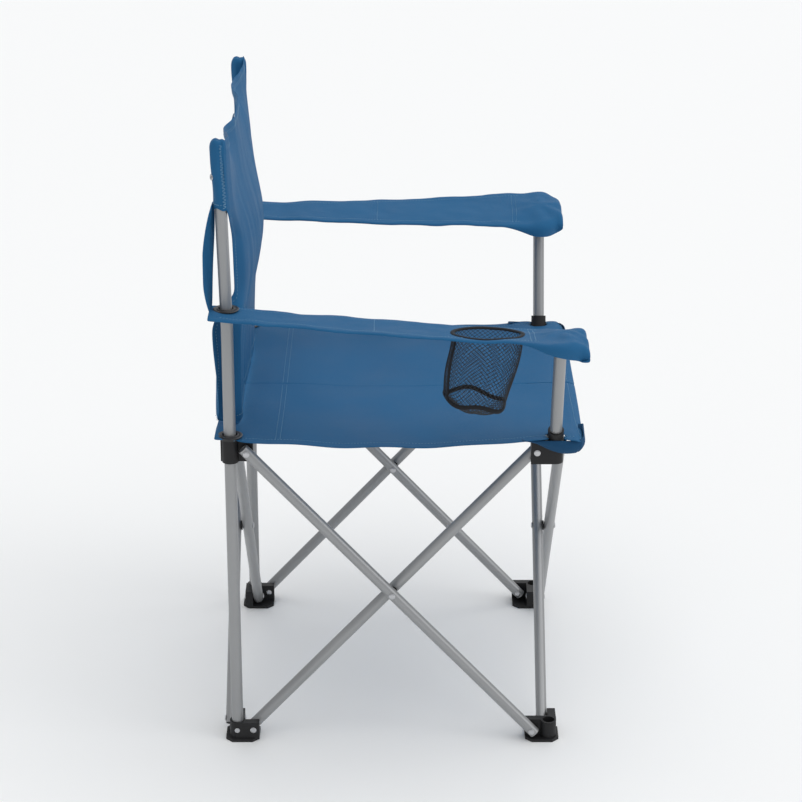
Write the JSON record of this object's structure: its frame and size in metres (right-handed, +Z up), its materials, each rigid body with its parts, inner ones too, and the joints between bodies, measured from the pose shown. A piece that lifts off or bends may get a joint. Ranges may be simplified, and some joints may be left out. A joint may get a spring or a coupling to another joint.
{
  "type": "folding camp chair",
  "caption": "Folding camp chair with scissor legs of grey steel tube, blue fabric seat, back and armrests, black feet and hubs, and a mesh cup pocket.",
  "frame": {"origin": "middle of the whole chair's footprint, on the ground that the feet stand on", "axes": "+Z up, -Y towards the front of the chair, -X towards the sitter's right"},
  "size_m": [0.6636, 0.492, 0.8542],
  "materials": {
    "fabric": "satin woven polyester, royal blue",
    "tube_steel": "silver-grey powder coat",
    "black_plastic": "moulded, matte",
    "rivet_steel": "zinc plated",
    "net": "open black mesh"
  },
  "bodies": {
    "back_right_foot": {"foot_back_right": "black_plastic", "back_pole_right": "tube_steel", "back_plug_right": "black_plastic", "foot_screw_right": "rivet_steel", "backrest": "fabric", "arm_strap_right": "fabric"},
    "right_inner": {"right_inner_tube": "tube_steel", "right_inner_rivets": "rivet_steel"},
    "right_outer": {"right_outer_tube": "tube_steel", "right_outer_rivets": "rivet_steel", "right_washer": "black_plastic"},
    "front_right_foot": {"foot_front_right": "black_plastic"},
    "right_slider": {"slider_back_right": "black_plastic", "seat_ring_right": "black_plastic"},
    "right_connector": {"connector_front_right": "black_plastic", "arm_pole_right": "tube_steel", "arm_plug_right": "black_plastic", "armrest_right": "fabric", "cup_rim": "black_plastic", "cup_net": "net"},
    "back_outer": {"back_outer_tube": "tube_steel", "back_outer_rivets": "rivet_steel", "back_washer": "black_plastic"},
    "back_inner": {"back_inner_tube": "tube_steel", "back_inner_rivets": "rivet_steel"},
    "back_left_foot": {"foot_back_left": "black_plastic", "back_pole_left": "tube_steel", "back_plug_left": "black_plastic", "foot_screw_left": "rivet_steel", "arm_strap_left": "fabric"},
    "left_slider": {"slider_back_left": "black_plastic", "seat_ring_left": "black_plastic"},
    "left_outer": {"left_outer_tube": "tube_steel", "left_outer_rivets": "rivet_steel", "left_washer": "black_plastic"},
    "left_inner": {"left_inner_tube": "tube_steel", "left_inner_rivets": "rivet_steel"},
    "front_left_foot": {"foot_front_left": "black_plastic"},
    "left_connector": {"connector_front_left": "black_plastic", "arm_pole_left": "tube_steel", "arm_plug_left": "black_plastic", "armrest_left": "fabric"},
    "front_inner": {"front_inner_tube": "tube_steel", "front_inner_rivets": "rivet_steel"},
    "front_outer": {"front_outer_tube": "tube_steel", "front_outer_rivets": "rivet_steel", "front_washer": "black_plastic"},
    "right_seat": {"seat_right": "fabric"},
    "left_seat": {"seat_left": "fabric"},
    "right_arm_ring": {"arm_ring_right": "black_plastic"},
    "left_arm_ring": {"arm_ring_left": "black_plastic"}
  },
  "joints": [
    {"name": "fold", "type": "hinge", "parent": "back_right_foot", "child": "right_inner", "pos_m": [-0.2067, 0.204, 0.017], "axis": [-1, 0, 0], "range_deg": [0, 36], "deforming": ["seat_right", "seat_left", "backrest", "armrest_right", "armrest_left", "cup_net", "cup_rim", "arm_strap_right", "arm_strap_left"]},
    {"name": "right_cross", "type": "hinge", "parent": "right_inner", "child": "right_outer", "pos_m": [-0.215, 0.013, 0.2235], "axis": [-1, 0, 0], "range_deg": [-72, 0]},
    {"name": "front_right_foot_turn", "type": "hinge", "parent": "right_outer", "child": "front_right_foot", "pos_m": [-0.2233, -0.178, 0.017], "axis": [-1, 0, 0], "range_deg": [0, 36]},
    {"name": "right_slider_turn", "type": "hinge", "parent": "right_outer", "child": "right_slider", "pos_m": [-0.2233, 0.204, 0.43], "axis": [-1, 0, 0], "range_deg": [0, 36]},
    {"name": "right_connector_turn", "type": "hinge", "parent": "right_inner", "child": "right_connector", "pos_m": [-0.2067, -0.178, 0.43], "axis": [-1, 0, 0], "range_deg": [-36, 0]},
    {"name": "back_outer_turn", "type": "hinge", "parent": "back_right_foot", "child": "back_outer", "pos_m": [-0.191, 0.2363, 0.017], "axis": [0, -1, 0], "range_deg": [0, 36]},
    {"name": "back_cross", "type": "hinge", "parent": "back_outer", "child": "back_inner", "pos_m": [0, 0.228, 0.2235], "axis": [0, -1, 0], "range_deg": [-72, 0]},
    {"name": "back_left_foot_turn", "type": "hinge", "parent": "back_inner", "child": "back_left_foot", "pos_m": [0.191, 0.2197, 0.017], "axis": [0, -1, 0], "range_deg": [0, 36]},
    {"name": "left_slider_turn", "type": "hinge", "parent": "back_outer", "child": "left_slider", "pos_m": [0.191, 0.2363, 0.43], "axis": [0, -1, 0], "range_deg": [-36, 0]},
    {"name": "left_outer_turn", "type": "hinge", "parent": "back_left_foot", "child": "left_outer", "pos_m": [0.2233, 0.204, 0.017], "axis": [-1, 0, 0], "range_deg": [0, 36]},
    {"name": "left_cross", "type": "hinge", "parent": "left_outer", "child": "left_inner", "pos_m": [0.215, 0.013, 0.2235], "axis": [-1, 0, 0], "range_deg": [-72, 0]},
    {"name": "front_left_foot_turn", "type": "hinge", "parent": "left_inner", "child": "front_left_foot", "pos_m": [0.2067, -0.178, 0.017], "axis": [-1, 0, 0], "range_deg": [0, 36]},
    {"name": "left_connector_turn", "type": "hinge", "parent": "left_outer", "child": "left_connector", "pos_m": [0.2233, -0.178, 0.43], "axis": [-1, 0, 0], "range_deg": [-36, 0]},
    {"name": "front_inner_turn", "type": "hinge", "parent": "front_right_foot", "child": "front_inner", "pos_m": [-0.191, -0.1937, 0.017], "axis": [0, -1, 0], "range_deg": [0, 36]},
    {"name": "front_cross", "type": "hinge", "parent": "front_inner", "child": "front_outer", "pos_m": [0, -0.202, 0.2235], "axis": [0, -1, 0], "range_deg": [-72, 0]},
    {"name": "right_seat_drop", "type": "hinge", "parent": "right_slider", "child": "right_seat", "pos_m": [-0.215, 0.013, 0.448], "axis": [0, 1, 0], "range_deg": [0, 74.58]},
    {"name": "left_seat_drop", "type": "hinge", "parent": "left_slider", "child": "left_seat", "pos_m": [0.215, 0.013, 0.448], "axis": [0, -1, 0], "range_deg": [0, 74.58]},
    {"name": "right_arm_ring_slide", "type": "slide", "parent": "back_right_foot", "child": "right_arm_ring", "axis": [0, 0.0227, 0.9997], "range_m": [0, 0.14564]},
    {"name": "left_arm_ring_slide", "type": "slide", "parent": "back_left_foot", "child": "left_arm_ring", "axis": [0, 0.0227, 0.9997], "range_m": [0, 0.14564]}
  ],
  "couplings": [
    {"joint": "right_cross", "follows": "fold", "ratio": -2},
    {"joint": "front_right_foot_turn", "follows": "fold", "ratio": 1},
    {"joint": "right_slider_turn", "follows": "fold", "ratio": 1},
    {"joint": "right_connector_turn", "follows": "fold", "ratio": -1},
    {"joint": "back_outer_turn", "follows": "fold", "ratio": 1},
    {"joint": "back_cross", "follows": "fold", "ratio": -2},
    {"joint": "back_left_foot_turn", "follows": "fold", "ratio": 1},
    {"joint": "left_slider_turn", "follows": "fold", "ratio": -1},
    {"joint": "left_outer_turn", "follows": "fold", "ratio": 1},
    {"joint": "left_cross", "follows": "fold", "ratio": -2},
    {"joint": "front_left_foot_turn", "follows": "fold", "ratio": 1},
    {"joint": "left_connector_turn", "follows": "fold", "ratio": -1},
    {"joint": "front_inner_turn", "follows": "fold", "ratio": 1},
    {"joint": "front_cross", "follows": "fold", "ratio": -2},
    {"joint": "right_seat_drop", "follows": "fold", "ratio": 2.0718},
    {"joint": "left_seat_drop", "follows": "fold", "ratio": 2.0718},
    {"joint": "right_arm_ring_slide", "follows": "fold", "m_per_rad": 0.2318},
    {"joint": "left_arm_ring_slide", "follows": "fold", "m_per_rad": 0.2318}
  ]
}
